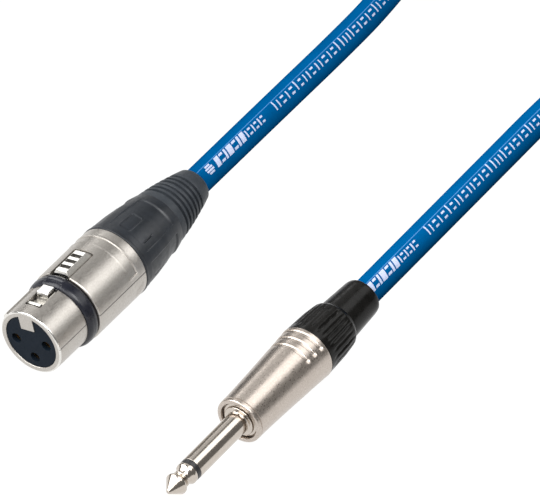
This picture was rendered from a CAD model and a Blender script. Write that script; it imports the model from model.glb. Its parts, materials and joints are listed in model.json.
import json
import math

import bmesh
import bpy
from mathutils import Matrix, Quaternion, Vector


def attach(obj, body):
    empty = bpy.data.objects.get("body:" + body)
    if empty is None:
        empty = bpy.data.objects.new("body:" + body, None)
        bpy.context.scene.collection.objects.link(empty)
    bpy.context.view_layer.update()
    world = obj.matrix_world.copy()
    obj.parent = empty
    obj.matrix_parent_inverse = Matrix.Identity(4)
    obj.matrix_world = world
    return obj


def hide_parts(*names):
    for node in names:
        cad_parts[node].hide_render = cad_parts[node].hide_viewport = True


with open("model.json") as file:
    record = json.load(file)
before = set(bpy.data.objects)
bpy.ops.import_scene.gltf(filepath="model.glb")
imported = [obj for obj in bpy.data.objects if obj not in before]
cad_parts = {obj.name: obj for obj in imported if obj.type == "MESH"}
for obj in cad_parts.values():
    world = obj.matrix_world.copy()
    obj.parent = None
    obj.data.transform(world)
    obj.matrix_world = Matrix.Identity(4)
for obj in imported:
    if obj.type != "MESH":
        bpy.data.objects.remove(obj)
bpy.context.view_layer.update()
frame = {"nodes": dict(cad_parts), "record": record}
nodes = frame["nodes"]
scene = bpy.context.scene

MM = 0.001
XLR = (
    Matrix.Scale(MM, 4)
    @ Matrix.Translation((-36.15, 0, 10.8))
    @ Matrix.Rotation(math.radians(90), 4, "Y")
    @ Matrix.Rotation(math.radians(166), 4, "Z")
)
JACK = (
    Matrix.Scale(MM, 4)
    @ Matrix.Translation((-58, -59.3, 8.1))
    @ Matrix.Rotation(math.atan2(12, 1000), 4, "Z")
    @ Matrix.Rotation(math.radians(90), 4, "Y")
)
WORLD = Matrix.Scale(MM, 4)

# ---------- camera ----------

PICTURE_W = 540
PX_PER_MM = 3.85
LENS, SENSOR = 1200, 36
back = Vector((-0.5856, -0.4177, 0.6947)).normalized()
target = Vector((31.2, -27.8, 7.55)) * MM
camera = bpy.data.objects.new("camera", bpy.data.cameras.new("camera"))
scene.collection.objects.link(camera)
scene.camera = camera
camera.data.lens = LENS
camera.data.sensor_width = SENSOR
camera.location = target + back * (PICTURE_W / PX_PER_MM * LENS / SENSOR * MM)
camera.rotation_mode = "QUATERNION"
camera.rotation_quaternion = (-back).to_track_quat("-Z", "Y")
camera.data.clip_start, camera.data.clip_end = 0.01, 50
scene.view_settings.view_transform = "Standard"


# ---------- materials ----------

M = {}


def material(name, color, tint, mottle, rough, metal=0.0, rough_var=None, grains=(), **sockets):
    """Adds a Principled material to M. Its colour goes over to tint by mottle (scale, share), rough_var
    (scale, amount) varies the roughness, and each grain (scale, strength, depth in metres) adds a bump."""
    mat = M[name] = bpy.data.materials.new(name)
    mat.use_nodes = True
    new, link = mat.node_tree.nodes.new, mat.node_tree.links.new
    shader = mat.node_tree.nodes["Principled BSDF"]
    shader.inputs["Base Color"].default_value = (*color, 1)
    shader.inputs["Roughness"].default_value = rough
    shader.inputs["Metallic"].default_value = metal
    for key, value in sockets.items():
        shader.inputs[key.replace("_", " ").title().replace("Ior", "IOR")].default_value = value
    place = new("ShaderNodeTexCoord").outputs["Object"]

    def noise(scale, detail):
        node = new("ShaderNodeTexNoise")
        node.inputs["Scale"].default_value = scale
        node.inputs["Detail"].default_value = detail
        link(place, node.inputs["Vector"])
        return node.outputs["Fac"]

    def ranged(value, low, high):
        """Spreads the middle of a noise's values over low to high."""
        node = new("ShaderNodeMapRange")
        node.inputs["From Min"].default_value = 0.3
        node.inputs["From Max"].default_value = 0.7
        node.inputs["To Min"].default_value = low
        node.inputs["To Max"].default_value = high
        link(value, node.inputs["Value"])
        return node.outputs["Result"]

    mix = new("ShaderNodeMix")
    mix.data_type = "RGBA"
    mix.inputs["A"].default_value = (*color, 1)
    mix.inputs["B"].default_value = (*tint, 1)
    link(ranged(noise(mottle[0], 5.0), 0, mottle[1]), mix.inputs["Factor"])
    link(mix.outputs["Result"], shader.inputs["Base Color"])
    if rough_var:
        scale, amount = rough_var
        link(ranged(noise(scale, 3.0), rough - amount, rough + amount), shader.inputs["Roughness"])
    normal = None
    for scale, strength, depth in grains:
        bump = new("ShaderNodeBump")
        bump.inputs["Strength"].default_value = strength
        bump.inputs["Distance"].default_value = depth
        link(noise(scale, 2.0), bump.inputs["Height"])
        if normal:
            link(normal, bump.inputs["Normal"])
        normal = bump.outputs["Normal"]
    if normal:
        link(normal, shader.inputs["Normal"])


# Metals
material("satin_nickel", (0.54, 0.515, 0.48), (0.42, 0.39, 0.355), (2400, 0.75), 0.40, 1.0,
         (2000, 0.08), [(3800, 0.6, 0.00003), (1900, 0.4, 0.00002)])
material("latch_nickel", (0.76, 0.745, 0.71), (0.66, 0.64, 0.60), (700, 0.5), 0.22, 1.0,
         (1200, 0.04), [(4200, 0.08, 0.00001)])
material("latch_side", (0.44, 0.425, 0.395), (0.36, 0.345, 0.32), (2000, 0.8), 0.40, 1.0)
material("seam", (0.14, 0.135, 0.13), (0.2, 0.19, 0.18), (2400, 0.8), 0.6, 1.0)
material("contact_gold", (0.78, 0.56, 0.24), (0.6, 0.42, 0.18), (1500, 0.5), 0.26, 1.0,
         (2500, 0.06), [(6000, 0.2, 0.00001)])
material("spring_steel", (0.66, 0.66, 0.66), (0.5, 0.5, 0.5), (2000, 0.5), 0.28, 1.0, (3000, 0.06))
material("copper", (0.72, 0.36, 0.2), (0.5, 0.24, 0.13), (2500, 0.8), 0.3, 1.0,
         grains=[(5000, 0.6, 0.00005)])
material("polished_nickel", (0.58, 0.525, 0.47), (0.49, 0.44, 0.385), (500, 0.6), 0.17, 1.0,
         (900, 0.04), [(3000, 0.12, 0.00001)])
material("handle_nickel", (0.56, 0.50, 0.448), (0.45, 0.395, 0.348), (2400, 0.85), 0.32, 1.0,
         (1900, 0.08), [(2300, 0.35, 0.00002), (1200, 0.35, 0.00002)])
# Plastics and rubbers
material("insert_plastic", (0.004, 0.0085, 0.015), (0.008, 0.013, 0.021), (600, 0.8), 0.5, 0.0,
         (1500, 0.06), [(3500, 0.3, 0.00002)], specular_ior_level=0.08)
material("ring_rubber", (0.005, 0.006, 0.011), (0.009, 0.010, 0.017), (900, 0.7), 0.30, 0.0,
         (1300, 0.06), [(4500, 0.2, 0.00001)], specular_ior_level=0.4)
material("black_nylon", (0.013, 0.013, 0.014), (0.024, 0.024, 0.025), (1500, 0.6), 0.38, 0.0,
         (2500, 0.06), [(5000, 0.2, 0.00001)])
material("bushing_plastic", (0.005, 0.007, 0.010), (0.010, 0.013, 0.018), (260, 0.9), 0.42, 0.0,
         (700, 0.07), [(4800, 0.35, 0.00002), (900, 0.15, 0.00004)], specular_ior_level=0.5)
material("boot_rubber", (0.020, 0.024, 0.029), (0.032, 0.037, 0.044), (420, 0.8), 0.50, 0.0,
         (1100, 0.06), [(4200, 0.4, 0.00002)], specular_ior_level=0.35)
material("cream_insulator", (0.7, 0.66, 0.52), (0.6, 0.56, 0.43), (1200, 0.6), 0.42)
material("jack_black", (0.0035, 0.0033, 0.003), (0.007, 0.0065, 0.006), (500, 0.8), 0.25, 0.0,
         (800, 0.08), [(2600, 0.25, 0.00002)], specular_ior_level=0.14)
# Cable, print and tie
material("core_red", (0.42, 0.02, 0.02), (0.33, 0.015, 0.015), (1200, 0.6), 0.4)
material("core_white", (0.75, 0.74, 0.70), (0.64, 0.62, 0.58), (1200, 0.6), 0.4)
material("cable_blue", (0.0, 0.060, 0.178), (0.0, 0.072, 0.213), (160, 0.7), 0.38, 0.0,
         (600, 0.06), [(1800, 0.18, 0.00002)], specular_ior_level=0.0)
material("print_ink", (0.40, 0.44, 0.58), (0.33, 0.38, 0.53), (1100, 0.8), 0.5, 0.0, (1500, 0.08))
material("line_ink", (0.03, 0.15, 0.36), (0.04, 0.17, 0.40), (1100, 0.8), 0.4)
material("tie_fabric", (0.012, 0.012, 0.014), (0.03, 0.03, 0.034), (2600, 1.0), 0.85,
         grains=[(3600, 1.0, 0.0002), (900, 0.4, 0.0002)],
         sheen_weight=0.08, sheen_roughness=0.5, specular_ior_level=0.2)
# The floor glows, so that it stays white in the shadows
material("floor", (0.03, 0.03, 0.03), (0.027, 0.027, 0.027), (6, 0.6), 0.75,
         emission_color=(1, 1, 1, 1), emission_strength=0.985)

for part in frame["record"]["subparts"]:
    mats = nodes[part["node"]].data.materials
    mats.clear()
    mats.append(M[part["material_slot"]])


# ---------- mesh helpers ----------


def ease(low, high, x):
    t = min(1.0, max(0.0, (x - low) / (high - low)))
    return t * t * (3 - 2 * t)


def between(x, low, high, soft):
    """1 inside low to high and 0 outside, with edges soft wide."""
    return ease(low - soft / 2, low + soft / 2, x) * (1 - ease(high - soft / 2, high + soft / 2, x))


def off_angle(a, centre, period=360):
    """Signed distance of angle a from the nearest of centre + k * period, in degrees."""
    return (a - centre + period / 2) % period - period / 2


def raw(name, shape, place, bevel=0.0):
    """A bare mesh object, for joining or cutting. shape is its vertices and faces."""
    mesh = bpy.data.meshes.new(name)
    mesh.from_pydata([place @ Vector(v) for v in shape[0]], [], shape[1])
    bm = bmesh.new()
    bm.from_mesh(mesh)
    bmesh.ops.remove_doubles(bm, verts=bm.verts, dist=2e-7)
    bmesh.ops.recalc_face_normals(bm, faces=bm.faces)
    if bevel:
        bmesh.ops.bevel(bm, geom=bm.edges[:], offset=bevel * MM, segments=2, profile=0.5, affect="EDGES")
    bm.to_mesh(mesh)
    bm.free()
    obj = bpy.data.objects.new(name, mesh)
    scene.collection.objects.link(obj)
    return obj


def dress(obj, slot, body="root", replaces=(), sharp=38, ink=None):
    """Makes obj a visible piece of a body. Only a piece without a slot names its material with ink."""
    obj.data.materials.clear()
    obj.data.materials.append(M[slot or ink])
    obj.data.shade_smooth()
    obj.data.set_sharp_from_angle(angle=math.radians(sharp))
    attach(obj, body)
    if replaces:
        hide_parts(*replaces)
    return obj


def piece(name, verts, faces, place, slot, body="root", replaces=(), sharp=38, ink=None):
    return dress(raw(name, (verts, faces), place), slot, body, replaces, sharp, ink)


def rounded(corners, steps=5):
    """A profile's corners (r, z[, fillet]) with each fillet drawn as an arc."""
    out = []
    for i, corner in enumerate(corners):
        b = Vector(corner[:2])
        if len(corner) < 3:
            out.append(b)
            continue
        a, c = Vector(corners[i - 1][:2]), Vector(corners[(i + 1) % len(corners)][:2])
        u, v = (a - b).normalized(), (c - b).normalized()
        half = u.angle(v) / 2
        cut = corner[2] / math.tan(half)
        centre = b + (u + v).normalized() * corner[2] / math.sin(half)
        first, last = b + u * cut - centre, b + v * cut - centre
        start = math.atan2(first.y, first.x)
        turn = (math.atan2(last.y, last.x) - start + math.pi) % (2 * math.pi) - math.pi
        for k in range(steps + 1):
            angle = start + turn * k / steps
            out.append(centre + corner[2] * Vector((math.cos(angle), math.sin(angle))))
    return [(p[0], p[1]) for p in out]


def denser(profile, step, z0=-math.inf, z1=math.inf, closed=True):
    """The same profile with its long edges between z0 and z1 split to step."""
    out, slack = [], 1e-6
    for a, b in zip(profile, profile[1:] + profile[:1] if closed else profile[1:]):
        out.append(a)
        if min(a[1], b[1]) >= z0 - slack and max(a[1], b[1]) <= z1 + slack:
            n = int(math.hypot(b[0] - a[0], b[1] - a[1]) / step)
            out += [(a[0] + (b[0] - a[0]) * k / n, a[1] + (b[1] - a[1]) * k / n) for k in range(1, n)]
    return out if closed else out + profile[-1:]


def turned(profile, angles=96, relief=None, closed=True):
    """Vertices and faces of a profile turned round Z. relief(angle, z, r) moves a point outwards."""
    if isinstance(angles, int):
        angles = [360 * i / angles for i in range(angles)]
    n, m = len(profile), len(angles)
    verts = []
    for a in angles:
        c, s = math.cos(math.radians(a)), math.sin(math.radians(a))
        for r, z in profile:
            d = r + (relief(a, z, r) if relief else 0)
            verts.append((d * c, d * s, z))
    faces = [(i * n + j, i * n + (j + 1) % n, (i + 1) % m * n + (j + 1) % n, (i + 1) % m * n + j)
             for i in range(m) for j in range(n if closed else n - 1)]
    return verts, faces


def angles_with(step, marks, fine=0.3, reach=4):
    """Angles round the circle every step degrees, and finer ones round each mark."""
    found = {round(step * i, 4) for i in range(int(360 / step))}
    for mark in marks:
        found |= {round((mark + fine * k) % 360, 4) for k in range(-reach, reach + 1)}
    return sorted(found)


def prism(near, far):
    """Vertices and faces of a solid between two outlines, each a list of points."""
    n = len(near)
    caps = [tuple(range(n)), tuple(range(2 * n - 1, n - 1, -1))]
    return near + far, caps + [(k, (k + 1) % n, n + (k + 1) % n, n + k) for k in range(n)]


def solid_block(low, high, corner=0):
    """A block from corner low to corner high, with its edges along x rounded."""
    (x0, y0, z0), (x1, y1, z1) = low, high
    outline = [(y0, z0), (y1, z0), (y1, z1), (y0, z1)]
    if corner:
        outline = rounded([(*p, corner) for p in outline], 4)
    return prism(*([(x, y, z) for y, z in outline] for x in (x0, x1)))


def extruded(outline, half):
    """A block from an outline of (r, z) points. half is its half width, or gives it at r."""
    return prism(*([(r, side * (half(r) if callable(half) else half), z) for r, z in outline]
                   for side in (-1, 1)))


def combine(obj, others, operation):
    """Cuts others from obj, or adds them to it, and removes them."""
    for other in others:
        mod = obj.modifiers.new("bool", "BOOLEAN")
        mod.solver, mod.operation, mod.object = "EXACT", operation, other
        bpy.context.view_layer.update()
        mesh = bpy.data.meshes.new_from_object(obj.evaluated_get(bpy.context.evaluated_depsgraph_get()))
        obj.modifiers.clear()
        old, obj.data = obj.data, mesh
        bpy.data.meshes.remove(old)
        bpy.data.objects.remove(other)
    return obj


# ---------- cable ----------

CABLE_D = 7.8
PITCH = 8.25
LAYER_TURNS = 2.375
TURNS = 4 * LAYER_TURNS
COIL = (209, -29)
INNER_R = 28.2
FIRST_Z = 4.5
# The leads' routes, at the same points as in the CAD
xlr_route = [
    (7, 0, 10.8), (24, 0, 10.8), (43, 0, 10.8), (62, 0, 10.8), (81, 0.05, 10.65), (100, 0.3, 10.2),
    (118, 1.2, 9.4), (135, 3.6, 8.2), (151, 7.9, 6.8), (166, 12.9, 5.6), (180, 17.0, 4.75),
    (192, 18.75, 4.5), (201.2, 18.79, 4.5),
]
jack_route = [
    (0, -58.6, 8.1), (20, -58.36, 8.1), (45, -58.06, 8.1), (72, -57.74, 8.1), (96, -57.45, 8.1),
    (108, -57.31, 8.1), (118, -57.92, 8.89), (128, -59.77, 11), (138, -62.51, 14.03),
    (148, -65.77, 17.57), (158, -69.18, 21.23), (168, -72.37, 24.62), (178, -74.94, 27.33),
    (187, -76.41, 28.85), (194, -76.79, 29.25), (201.2, -76.79, 29.25),
]


def through(points, step=2.5):
    """A smooth line through the points, with a sample about every step."""
    pts = [Vector(p) for p in points]
    pts = [2 * pts[0] - pts[1], *pts, 2 * pts[-1] - pts[-2]]
    out = []
    for a, b, c, d in zip(pts, pts[1:], pts[2:], pts[3:]):
        n = max(2, round((c - b).length / step))
        for k in range(n):
            t = k / n
            out.append(0.5 * (2 * b + (c - a) * t + (2 * a - 5 * b + 4 * c - d) * t * t
                              + (3 * b - a - 3 * c + d) * t ** 3))
    return [*out, pts[-2]]


def coil_spot(t):
    """The point of the coil after t turns. Radius and height are averaged over a short stretch, so that
    each layer turns back smoothly."""
    near = [min(TURNS, max(0, t + 0.012 * k)) for k in range(-5, 6)]
    r = sum(INNER_R + PITCH * min(abs(u - LAYER_TURNS), abs(u - 3 * LAYER_TURNS)) for u in near) / len(near)
    h = sum(FIRST_Z + PITCH * sum(ease(0, 1, u - LAYER_TURNS * k + 0.5) for k in (1, 2, 3))
            for u in near) / len(near)
    return Vector((COIL[0] + r * math.sin(2 * math.pi * t), COIL[1] + r * math.cos(2 * math.pi * t), h))


STEPS_PER_TURN = 64
xlr_line = through(xlr_route)
coil_line = [coil_spot(i / STEPS_PER_TURN) for i in range(round(TURNS * STEPS_PER_TURN) + 1)]
jack_line = through(jack_route)
line = xlr_line + coil_line + jack_line[::-1]
line = [p for i, p in enumerate(line) if i == 0 or (p - line[i - 1]).length > 0.2]


def frames(path):
    """(point, side, up) along a line, turned as little as possible from one to the next."""
    found, side = [], None
    for i, p in enumerate(path):
        t = (path[min(i + 1, len(path) - 1)] - path[max(i - 1, 0)]).normalized()
        side = t.cross(Vector((0, 0, 1))) if side is None else side - t * side.dot(t)
        side.normalize()
        found.append((p, side.copy(), side.cross(t)))
    return found


CABLE_SIDES = 32
verts = []
for p, across, up in frames(line):
    for k in range(CABLE_SIDES):
        a = 2 * math.pi * k / CABLE_SIDES
        verts.append(p + CABLE_D / 2 * (math.cos(a) * across + math.sin(a) * up))
faces = [tuple(range(CABLE_SIDES)), tuple(range(len(verts) - CABLE_SIDES, len(verts)))]
for i in range(len(line) - 1):
    for k in range(CABLE_SIDES):
        a, b = i * CABLE_SIDES + k, i * CABLE_SIDES + (k + 1) % CABLE_SIDES
        faces.append((a, b, b + CABLE_SIDES, a + CABLE_SIDES))
cable = piece("cable", verts, faces, WORLD, "cable_blue",
              replaces=["xlr_lead", "cable_coil", "jack_lead"], sharp=60)


# ---------- XLR shell ----------

BARREL_R, REAR_R, SEAT_R = 9.5, 10.7, 9.0
RING_START, RING_END, SHELL_LEN = 12, 16.1, 36.5
STROKES = (107, 112, 117)


def shell_relief(a, z, r):
    """The mould's two seams, the rear shell's label recess and slanted strokes, and the barrel's key."""
    d = 0.0
    side = off_angle(a, 0)
    if r > 9.3:
        d -= 0.07 * between(abs(side), 89.4, 90.6, 0.6) * (z < RING_START or z > RING_END + 0.3)
    if r > 10.2 and z > 20:
        recess = between(z, 30.4, 33.3, 0.16) * between(side, -81, 81, 1.2)
        rim = between(z, 30.05, 33.65, 0.2) * between(side, -82.4, 82.4, 1.2)
        d += 0.09 * rim * (1 - recess) - 0.2 * recess
        for at in STROKES:
            u = math.radians(off_angle(a, at)) * r + 0.45 * (z - 33.6)
            d += 0.10 * between(u, -0.22, 0.22, 0.16) * between(z, 32.2, 35, 0.25)
    if 9.3 < r < 9.6:
        d += 0.45 * between(off_angle(a, -45), -5.4, 5.4, 1.6) * (0.2 < z < RING_START)
    return d


profile = rounded([
    (7.95, 0, 0.2), (BARREL_R, 0, 0.45), (BARREL_R, RING_START, 0.15), (SEAT_R, RING_START),
    (SEAT_R, RING_END), (REAR_R, RING_END, 0.5), (REAR_R, SHELL_LEN, 0.22), (9.35, SHELL_LEN),
    (9.35, 30), (8.6, 30), (8.6, 22), (7.95, 22),
])
profile = denser(profile, 0.22, 0, SHELL_LEN)
shell_angles = set(angles_with(2.5, [90, 270, 81, 279, 15.2, 344.8, 16.4, 343.6, *STROKES], 0.35, 5))
shell_angles |= {round(309 + 0.5 * k, 4) for k in range(25)}  # the key
shell_angles |= {round(102 + 0.4 * k, 4) for k in range(50)}  # the strokes
shell = raw("xlr_shell_metal", turned(profile, sorted(shell_angles), shell_relief), XLR)

# The latch's window in the barrel, its pad's window in the rear shell, and the tunnel under both
combine(shell, [
    raw("cut", solid_block((6.3, -2.5, 3.8), (14, 2.5, 17.1), 0.35), XLR),
    raw("cut", solid_block((6.3, -3.25, 16.0), (14, 3.25, 27), 0.45), XLR),
    raw("cut", solid_block((6.3, -2.5, 15), (9.2, 2.5, 30.5)), XLR),
], "DIFFERENCE")
combine(shell, [raw("key", solid_block((3.9, -2.2, 0), (8.4, 2.2, 3)), XLR, 0.14)], "UNION")
dress(shell, "satin_nickel", "root", ["xlr_shell"], 32)
# Slot 1 is the worn front edge, slot 2 the seams
shell.data.materials.append(M["latch_nickel"])
shell.data.materials.append(M["seam"])
to_xlr = XLR.inverted()
for face in shell.data.polygons:
    x, y, z = to_xlr @ face.center
    r, a = math.hypot(x, y), math.degrees(math.atan2(y, x))
    if 0.01 < z < 0.44 and r > 9.05:
        face.material_index = 1
    elif r > 9.2 and abs(abs(a) - 90) < 0.8 and (z < RING_START or z > RING_END):
        face.material_index = 2


# ---------- XLR ring, latch ----------


def ring_relief(a, z, r):
    """A shallow line round the ring, and its flatter stretch with a tab at the latch."""
    if r < 9.6:
        return 0
    at_latch = between(off_angle(a, 0), -15, 15, 3)
    tab = 0.3 * between(z, 14.2, 16.3, 0.5) - 0.25 * (z < 13.4)
    return at_latch * tab - 0.05 * between(z, 13.5, 14.1, 0.5)


profile = [(9.05, 12.1), (9.05, 16.0)]
for t in range(0, 181, 6):
    c, s = math.cos(math.radians(t)), math.sin(math.radians(t))
    profile.append((9.35 + 1.2 * s ** 0.8, 14.05 + 2.02 * c))
piece("xlr_ring", *turned(profile, angles_with(3, [15, 345], 0.6, 6), ring_relief), XLR, "ring_rubber",
      replaces=["xlr_seal_ring"])

bar_side = [(7.3, 4.4), (9.1, 4.45), (9.25, 4.6), (9.2, 5.4), (8.35, 5.75), (7.95, 8.0), (8.7, 8.3),
            (8.7, 28.4), (7.3, 28.4)]
latch = raw("xlr_latch_metal", extruded(bar_side, 1.98), XLR, 0.1)
levels = [(8.5, 1.8, 8.1, 11.6), (9.9, 1.8, 8.5, 11.6), (10.3, 1.7, 9.0, 11.5)]
verts = [(r, side * half, z) for r, half, z0, z1 in levels for side in (-1, 1) for z in (z0, z1)]
faces = [(0, 1, 3, 2), (0, 4, 5, 1), (2, 3, 7, 6), (0, 2, 6, 4), (1, 5, 7, 3),
         (4, 8, 9, 5), (6, 7, 11, 10), (4, 6, 10, 8), (5, 9, 11, 7), (8, 10, 11, 9)]
hook = raw("hook", (verts, faces), XLR, 0.14)
pad_side = rounded([(9.0, 16.75), (10.3, 16.8), (11.15, 17.2, 0.2), (11.15, 26.0, 0.3), (10.3, 26.8),
                    (9.0, 26.85)])


def pad_half(r):
    return 2.8 - 1.1 * max(0, r - 9.5) / 1.65


pad = raw("pad", extruded(pad_side, pad_half), XLR, 0.1)
slots = []
for z in (18.6, 21, 23.4):
    side = [(10.1, z), (10.3, z - 0.15), (11.5, z - 0.3), (11.5, z + 1.15), (10.1, z + 1.0)]
    slots.append(raw("slot", extruded(side, 1.58), XLR, 0.1))
combine(pad, slots, "DIFFERENCE")
profile = rounded([(0, -2.1), (1.0, -2.1, 0.15), (1.0, 2.1, 0.15), (0, 2.1)])
boss = raw("boss", turned(profile, 40, closed=False),
           XLR @ Matrix.Translation((8.0, 0, 28.4)) @ Matrix.Rotation(math.radians(90), 4, "X"))
combine(latch, [hook, boss, pad], "UNION")
profile = [(0, 7.2), (1.75, 7.2), (1.75, 8.42), (0, 8.42)]
spring_seat = raw("spring_seat", turned(profile, 32, closed=False),
                  XLR @ Matrix.Translation((0, 0, 12.5)) @ Matrix.Rotation(math.radians(90), 4, "Y"))
combine(latch, [spring_seat], "DIFFERENCE")
dress(latch, "latch_nickel", "latch", ["xlr_latch"], 30)
latch.modifiers.new("normals", "WEIGHTED_NORMAL").keep_sharp = True
# Slot 1 is its sides and hollows, slot 2 the shaded walls of the pad's slots
latch.data.materials.append(M["latch_side"])
latch.data.materials.append(M["seam"])
turn_to_xlr = to_xlr.to_3x3().normalized()
for face in latch.data.polygons:
    r, y, z = to_xlr @ face.center
    n = turn_to_xlr @ face.normal
    if 5.5 < z < 8.3 and r < 9.1:
        face.material_index = 1
    elif z > 18 and abs(n.z) > 0.7 and 10.1 < r < 11.05 and z < 25.5:
        face.material_index = 2
    elif z > 16.7 and (n.x > 0.7 and r < 10.6 or abs(n.y) > 0.5):
        face.material_index = 1


# ---------- XLR bushing and boot ----------


def thread_relief(a, z, pitch, depth):
    """A right-hand thread's ridge, cut depth deep."""
    return -depth * abs(2 * ((z / pitch - a / 360) % 1) - 1)


def thread_points(r, start, end, step=0.12):
    """Profile points along a thread, close enough for its ridges."""
    n = round((end - start) / step)
    return [(r, start + (end - start) * k / n) for k in range(n + 1)]


FLAT_AT = 32
BUSHING_SLOTS = ((55.5, 40.6, 44.2), (117, 41, 45), (207, 41, 45), (297, 41, 45))  # angle, from z, to z


def bushing_relief(a, z, r):
    """The thread, the four flats, the rounded window beside one of them, and the narrow slots."""
    if r > 9.2 and z < 36.4:
        return thread_relief(a, z, 1, 0.28)
    if r < 8 or z < 38.2:
        return 0
    t = abs(off_angle(a, FLAT_AT, 90))
    depth = 0.12 + 0.32 * ease(39, 50, z)
    flat = (1 - ease(35.4, 37.2, t)) * between(z, 39.4, 52.4, 0.5)
    d = -depth * flat * (1 - 0.45 * (t / 36) ** 2)
    arc = math.radians(off_angle(a, 19)) * r
    edge = math.hypot(max(abs(arc) - 1.0, 0), max(abs(z - 43) - 2.4, 0)) - 0.6
    d -= 0.2 * (1 - ease(-0.12, 0.12, edge)) - 0.07 * (1 - ease(0.05, 0.3, abs(edge - 0.2)))
    for at, z0, z1 in BUSHING_SLOTS:
        arc = math.radians(off_angle(a, at)) * r
        d -= 0.4 * (1 - ease(0.12, 0.28, abs(arc))) * between(z, z0, z1, 0.3)
    return d


outline = [(7.85, 30.3), (9.0, 30.3)] + thread_points(9.25, 30.35, 36.35)
outline += [(9.25, 36.55), (10.8, 36.55, 0.2), (10.8, 37.4, 0.2), (10.35, 37.45), (10.35, 37.55)]
outline += [(10.55, 37.55), (10.53, 40), (10.36, 44), (10.0, 47.84), (9.47, 51), (8.97, 53.5), (8.5, 55.4)]
outline += [(5.7, 55.4), (5.7, 49.5), (6.3, 48.5), (7.85, 42.5)]
profile = denser(rounded(outline), 0.25, 37.5, 55.4)
marks = [FLAT_AT + 36.3, FLAT_AT + 53.7, FLAT_AT - 36.3, 9, 29, *(at for at, _, _ in BUSHING_SLOTS)]
piece("xlr_bushing_body", *turned(profile, angles_with(1.25, marks, 0.3, 7), bushing_relief), XLR,
      "bushing_plastic", "xlr_back", ["xlr_bushing"], 50)


BOOT_START, BOOT_LEN = 55.45, 16.9
GROOVES, GROOVE_START, GROOVE_PITCH, GROOVE_HALF = 6, 2.4, 1.78, 0.58


def boot_r(z):
    """The boot's outside at z above its front, with its rounded grooves."""
    phase = (z - GROOVE_START) / GROOVE_PITCH
    dip = 0.0
    if 0 <= phase < GROOVES:
        x = (phase % 1 * GROOVE_PITCH - 0.4) / GROOVE_HALF
        dip = math.sqrt(max(0, 1 - x ** 2)) + 0.05 * (1 - math.cos(2 * math.pi * phase))
    return 8.3 - 3.4 * (z / BOOT_LEN) ** 1.45 - dip


profile = [(5.6, 51.45), (5.6, 55.4), (7.9, BOOT_START), (8.2, 55.5)]
profile += [(boot_r(0.07 * k), BOOT_START + 0.07 * k) for k in range(3, 234)]
profile += [(4.86, 72.0), (4.72, 72.2), (4.5, 72.3), (4.2, 72.3), (4.1, 72.15), (4.1, 51.45)]
piece("xlr_boot_rubber", *turned(profile, 96), XLR, "boot_rubber", "xlr_back", ["xlr_boot"], 75)


# ---------- jack ----------

HANDLE_START, HANDLE_LEN, HANDLE_END = 31.5, 31, 62.5

profile = [
    (0, 0), (0.4, 0.0), (0.55, 0.08), (0.66, 0.22), (2.98, 3.42), (3.11, 3.62), (3.145, 3.85),
    (3.12, 4.08), (2.98, 4.33), (2.55, 4.78), (2.25, 5.12), (2.12, 5.4), (2.1, 5.62), (2.3, 5.68),
    (2.42, 5.8), (2.45, 5.95), (2.42, 6.1), (2.3, 6.22), (2.1, 6.28), (2.06, 6.5), (2.12, 6.78),
    (2.3, 7.12), (2.62, 7.5), (2.92, 7.82), (3.08, 8.05), (3.145, 8.25), (3.145, 8.95), (3.08, 9.05),
    (1.25, 9.05), (1.25, 42.9), (1.15, 43), (0, 43),
]
tip = piece("jack_tip_metal", *turned(profile, closed=False), JACK, "polished_nickel",
            replaces=["jack_tip"], sharp=34)
profile = rounded([(1.35, 9.1), (3.125, 9.1, 0.08), (3.125, 10.55, 0.08), (1.35, 10.55)])
tip_ring = piece("jack_tip_ring_plastic", *turned(profile), JACK, "black_nylon", replaces=["jack_tip_ring"])
profile = rounded([
    (2.3, 10.6), (3.175, 10.6, 0.12), (3.175, 31.45, 0.3), (4.4, 31.5, 0.25), (4.4, 32.3, 0.12),
    (5.2, 32.32, 0.25), (5.2, 35.5), (2.3, 35.5),
])
shaft = piece("jack_shaft_metal", *turned(profile), JACK, "polished_nickel",
              replaces=["jack_shaft"], sharp=34)


def handle_relief(a, z, r):
    """Three grooves, and the faint patch that they lie in. They run round from 296 to 226 degrees."""
    if r < 6.6 or z < 50:
        return 0
    patch = between((a - 296) % 360, 0, 290, 11)
    d = -0.04 * between(z, 54.0, 62.3, 0.3) * patch
    for share in (0.77, 0.86, 0.95):
        middle = HANDLE_START + HANDLE_LEN * share
        d -= 0.34 * between(z, middle - 0.55, middle + 0.55, 0.35) * patch
    return d


cone = [(6.7 + 1.4 * (k / 24) ** 1.4, HANDLE_START + HANDLE_LEN * k / 24) for k in range(2, 24)]
profile = rounded([
    (5.5, HANDLE_START, 0.2), (6.7, HANDLE_START, 0.5), (6.72, 32.5), (6.48, 32.6), (6.5, 32.85),
    (6.75, 32.98), *cone, (8.1, HANDLE_END, 0.25), (7.0, HANDLE_END), (7.0, 56), (5.8, 56), (5.8, 34.7),
    (5.3, 34.7), (5.3, 33.1), (5.5, 33.1),
])
profile = denser(profile, 0.2, 32.9, HANDLE_END)
handle = piece("jack_handle_metal", *turned(profile, angles_with(2.5, [296, 226], 0.5, 11), handle_relief),
               JACK, "handle_nickel", replaces=["jack_handle"])


FLUTES = 26


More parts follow.
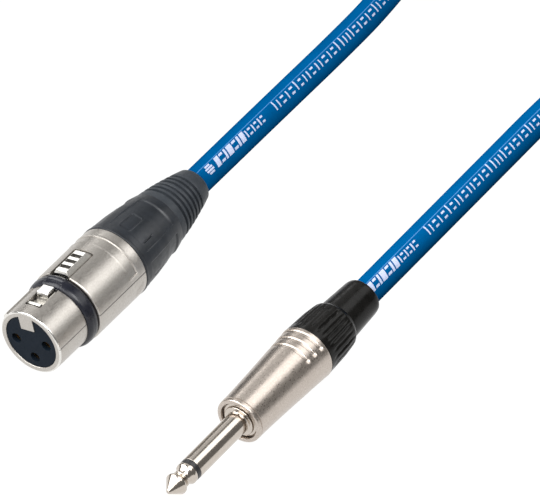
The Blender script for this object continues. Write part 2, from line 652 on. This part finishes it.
def flute_relief(a, z, r):
    """The thread, and sharp flutes that differ a little in place, depth and length."""
    if r > 6.8 and z < 62.4:
        return thread_relief(a, z, 0.75, 0.22)
    if r < 7.0 or z < 63.3:
        return 0
    k = round(a / 360 * FLUTES)
    lean = 2.2 * math.sin(5.1 * k) + 0.25 * math.sin(z * 1.7 + 3 * k)
    t = abs(off_angle(a, lean, 360 / FLUTES)) / (180 / FLUTES)
    run = ease(63.3, 66.5, z) * (1 - ease(71.5 + math.sin(2.3 * k), 75.6, z))
    return -(0.34 + 0.1 * math.sin(3.7 * k)) * run * max(0, 1 - t / 0.62)


profile = rounded([
    (6.3, 56.3), (6.7, 56.3), *thread_points(6.9, 56.35, 62.35, 0.1), (6.9, 62.55), (8.02, 62.55, 0.2),
    (7.95, 63.2, 0.2), (7.62, 70.5, 12), (7.15, 74.6, 1.6), (6.24, 76, 0.04), (5.0, 76), (5.0, 71.5),
    (5.25, 70.5), (6.3, 64.5),
])
profile = denser(profile, 0.25, 62.6, 76)
jack_bushing = piece("jack_bushing_body", *turned(profile, 16 * FLUTES, flute_relief), JACK, "jack_black",
                     "jack_back", ["jack_bushing"], 60)
profile = rounded([
    (4.9, 73.05), (4.9, 76.05), (6.15, 76.05, 0.15), (5.5, 87, 6), (5.2, 88, 0.55), (4.1, 88, 0.15),
    (4.1, 73.05),
])
profile = denser(profile, 0.4, 76, 88)
jack_sleeve = piece("jack_sleeve_rubber", *turned(profile), JACK, "jack_black", "jack_back",
                    ["jack_boot"], 60)


# ---------- tie ----------

TIE_W, TIE_T = 16, 0.6
TIE_BEND, TIE_STEP = 4.2, 1.2
tie_x = COIL[0] + (INNER_R + INNER_R + LAYER_TURNS * PITCH) / 2
inner_w = LAYER_TURNS * PITCH + CABLE_D + 0.9
inner_h = 3 * PITCH + CABLE_D + 0.45


def strap(name, loop, closed, width, thick, place):
    """A strap of cloth with round edges along a loop of (x, z) points, across the y axis."""
    cols = 14
    across = [width * (0.04 + 0.92 * k / cols - 0.5) for k in range(cols + 1)]
    section = [(y, 0) for y in across] + [(width / 2, thick * 0.3), (width / 2, thick * 0.7)]
    section += [(y, thick) for y in reversed(across)]
    section += [(-width / 2, thick * 0.7), (-width / 2, thick * 0.3)]
    n, m = len(loop), len(section)
    verts = []
    for i, (x, z) in enumerate(loop):
        if closed:
            a, b = loop[i - 1], loop[(i + 1) % n]
        else:
            a, b = loop[max(i - 1, 0)], loop[min(i + 1, n - 1)]
        along = Vector((b[0] - a[0], b[1] - a[1])).normalized()
        out = Vector((along.y, -along.x))
        verts += [(x + out.x * t, y, z + out.y * t) for y, t in section]
    faces = [(i * m + j, i * m + (j + 1) % m, (i + 1) % n * m + (j + 1) % m, (i + 1) % n * m + j)
             for i in range(n if closed else n - 1) for j in range(m)]
    if not closed:
        faces += [tuple(range(m)), tuple((n - 1) * m + j for j in range(m))]
    return piece(name, verts, faces, place, "tie_fabric", sharp=70)


place = WORLD @ Matrix.Translation((tie_x, COIL[1], 0))
low, high = TIE_T, TIE_T + inner_h
corners = [(-inner_w / 2, low), (inner_w / 2, low), (inner_w / 2, high), (-inner_w / 2, high)]
loop = denser(rounded([(*p, TIE_BEND) for p in corners], 8), TIE_STEP)
tie = strap("tie_strap", loop, True, TIE_W, TIE_T, place)
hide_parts("cable_tie")
# The tail lies over the loop's outside and ends, a little lifted, on top
x, top_z = inner_w / 2 + TIE_T + 0.02, high + TIE_T
tail = rounded([(x, top_z - 16), (x, top_z + 0.02, 4.8), (-4, top_z + 0.02, 30), (-7, top_z + 0.25)], 8)
tail_end = strap("tie_tail", denser(tail, TIE_STEP, closed=False), False, TIE_W - 1, TIE_T * 0.9, place)


# ---------- print on the cable ----------

INK_UNDER, INK_OVER = 0.06, 0.012  # how far a mark reaches below and above the cable's surface
GRID = 5  # cells along each side of a mark


def lay_on(name, path, quads, ink="print_ink"):
    """Thin printed marks on the cable. Each quad is four (distance along, distance around) corners."""
    run = [0.0]
    for a, b in zip(path, path[1:]):
        run.append(run[-1] + (b - a).length)
    spots = frames(path)

    def on_surface(s, w, r):
        i = max(k for k in range(len(run) - 1) if run[k] <= s)
        f = (s - run[i]) / (run[i + 1] - run[i])
        (p, a, u), (q, b, v) = spots[i], spots[i + 1]
        turn = w / (CABLE_D / 2)
        return p.lerp(q, f) + r * (math.cos(turn) * a.lerp(b, f).normalized()
                                   + math.sin(turn) * u.lerp(v, f).normalized())

    verts, faces = [], []
    g, layer = GRID + 1, (GRID + 1) ** 2
    rim = [i * g for i in range(g)] + [GRID * g + j for j in range(1, g)]
    rim += [i * g + GRID for i in range(GRID - 1, -1, -1)] + list(range(GRID - 1, 0, -1))
    for a, b, c, d in quads:
        base = len(verts)
        for r in (CABLE_D / 2 - INK_UNDER, CABLE_D / 2 + INK_OVER):
            for i in range(g):
                for j in range(g):
                    x, y = i / GRID, j / GRID
                    s, w = ((1 - x) * ((1 - y) * a[k] + y * d[k]) + x * ((1 - y) * b[k] + y * c[k])
                            for k in (0, 1))
                    verts.append(on_surface(s, w, r))
        for i in range(GRID):
            for j in range(GRID):
                k = base + i * g + j
                faces.append((k, k + 1, k + g + 1, k + g))
                faces.append((k + layer, k + layer + g, k + layer + g + 1, k + layer + 1))
        for i, j in zip(rim, rim[1:] + rim[:1]):
            faces.append((base + i, base + j, base + layer + j, base + layer + i))
    return piece(name, verts, faces, WORLD, None, ink=ink)


def bar(s, w, length, height, slant=0.0):
    """A mark from s on along the cable, its middle at w round it. slant leans its ends."""
    low, high = w - height / 2, w + height / 2
    return [(s - slant, low), (s - slant + length, low), (s + slant + length, high), (s + slant, high)]


def disc(s, w, r):
    """A round dot of four lengthwise stripes."""
    halves = [(v, math.sqrt(r * r - v * v)) for v in (-0.75 * r, -0.25 * r, 0.25 * r, 0.75 * r)]
    return [bar(s - half, w + v, 2 * half, r * 0.36) for v, half in halves]


# Block lengths of the print's four groups. A negative one is two short dashes, one above the other
BOLD = (1.6, -1.4, 0.75, 2.0, -1.5, 0.85, 1.6)
THIN = (0.45, -1.1, 0.45, -1.0, 0.5, -1.0)
LONG = (0.45, 0.4, -1.3, 0.4, -1.3, 0.45, -1.1, 0.4, 0.45, -1.2, 0.45, 0.4, -1.3, 0.4, -1.2, 0.45)
LAST = (0.45, 0.4, 0.45, 0.4, -1.2, 0.45, -1.3, 0.4, -1.3, 0.45, 0.4, -1.2, 0.45, -1.3, 0.4)


def blocks(start, w, sizes, height, gap, slant=0.35, tall=()):
    """Plain blocks in a row. tall lists those that stand up higher."""
    quads, s = [], start
    for k, size in enumerate(sizes):
        if size > 0:
            rise = 0.7 if k in tall else 0
            quads.append(bar(s, w + rise / 2, size, height + rise, slant))
        else:
            for d in (-1, 1):
                quads.append(bar(s + slant / 2 * d, w + d * height * 0.34, -size, height * 0.24, slant / 2))
        s += abs(size) + gap
    return quads


def rule(s0, s1, w):
    """A fine line along the cable, of bars with a hair's gap, so that each is a closed solid."""
    n = math.ceil((s1 - s0) / 5)
    return [bar(s0 + (s1 - s0) * k / n, w, (s1 - s0) / n - 0.02, 0.22) for k in range(n)]


def print_row(start, w):
    """One run of the cable's print: bold blocks, a short thin group and two long thin ones."""
    thin_w = w - 0.15
    return (blocks(start, w, BOLD, 2.7, 0.5)
            + blocks(start + 13.4, thin_w, THIN, 2.1, 0.65, 0.1)
            + blocks(start + 26.2, thin_w, LONG, 2.25, 1.15, 0.1, (0, 5, 15))
            + blocks(start + 56.6, thin_w, LAST, 2.25, 1.1, 0.1, (0, 3, 9)))


def facing(path):
    """The distance round the cable, from its frame's side vector, at which a mark faces the camera."""
    _, side, up = frames(path)[len(path) // 3]
    return math.atan2(back.dot(up), back.dot(side)) * CABLE_D / 2


RULE_END, RULE_UP = 124, 1.65
w = facing(xlr_line) + 0.1
marks_xlr = lay_on("print_xlr_end", xlr_line, disc(33.5, w, 1.45) + print_row(36.3, w))
line_xlr = lay_on("line_xlr_end", xlr_line, rule(29.4, RULE_END, w + RULE_UP), "line_ink")
w = facing(jack_line) + 0.1
marks_jack = lay_on("print_jack_end", jack_line, print_row(30.4, w))
line_jack = lay_on("line_jack_end", jack_line, rule(30.2, RULE_END, w + RULE_UP), "line_ink")
# The same print about once a metre in the coil, on its outside: the turn where it starts, and how
# far up it sits, in radians
for k, (turns, up) in enumerate([(0.45, 0), (4.4, 0), (8.8, 0.6)], 1):
    first = round(turns * STEPS_PER_TURN)
    row = print_row(2, (math.pi - up) * CABLE_D / 2)
    lay_on(f"print_coil_{k}", coil_line[first:first + 24], row)


# ---------- floor, light ----------

floor_mesh = bpy.data.meshes.new("floor")
floor_mesh.from_pydata([(-4, -4, 0), (4, -4, 0), (4, 4, 0), (-4, 4, 0)], [], [(0, 1, 2, 3)])
floor = bpy.data.objects.new("floor", floor_mesh)
scene.collection.objects.link(floor)
floor_mesh.materials.append(M["floor"])
floor.visible_diffuse = False


def area_light(name, place, turn, size, power, diffuse=1.0, specular=1.0):
    light = bpy.data.lights.new(name, "AREA")
    light.shape = "RECTANGLE"
    light.size, light.size_y = size
    light.energy = power
    light.diffuse_factor, light.specular_factor = diffuse, specular
    obj = bpy.data.objects.new(name, light)
    scene.collection.objects.link(obj)
    obj.location = place
    obj.rotation_mode = "QUATERNION"
    obj.rotation_quaternion = turn
    obj.visible_camera = False


def softbox(name, direction, distance, size, power, **factors):
    """A square light that faces the plugs from a direction."""
    aim = Vector(direction).normalized()
    place = Vector((0.03, -0.03, 0)) + aim * distance
    area_light(name, place, (-aim).to_track_quat("-Z", "Y"), (size, size), power, **factors)


softbox("latch_light", (0.586, 0.695, 0.417), 1.6, 0.35, 0.8)
softbox("side_light", (0.586, 0.50, 0.62), 1.8, 1.1, 2.1, diffuse=0.2)
softbox("top_light", (-0.3, -0.36, 0.88), 1.8, 0.9, 19, specular=0)
softbox("fill_left", (-0.8, 0.1, 0.6), 1.8, 1.4, 20, diffuse=0.5)
softbox("fill_back", (-0.35, 0.75, 0.75), 1.8, 1.4, 34, diffuse=0.25)
# A small light close over the jack, for the bright streak along it
area_light("strip_light", (0.07, -0.077, 0.104), Quaternion((1, 0, 0), math.radians(24)),
           (0.26, 0.075), 0.13, diffuse=0.1)

world = bpy.data.worlds.new("world")
scene.world = world
world.use_nodes = True
sky = world.node_tree.nodes["Background"]
sky.inputs["Color"].default_value = (1.0, 0.985, 0.96, 1)
sky.inputs["Strength"].default_value = 0.2
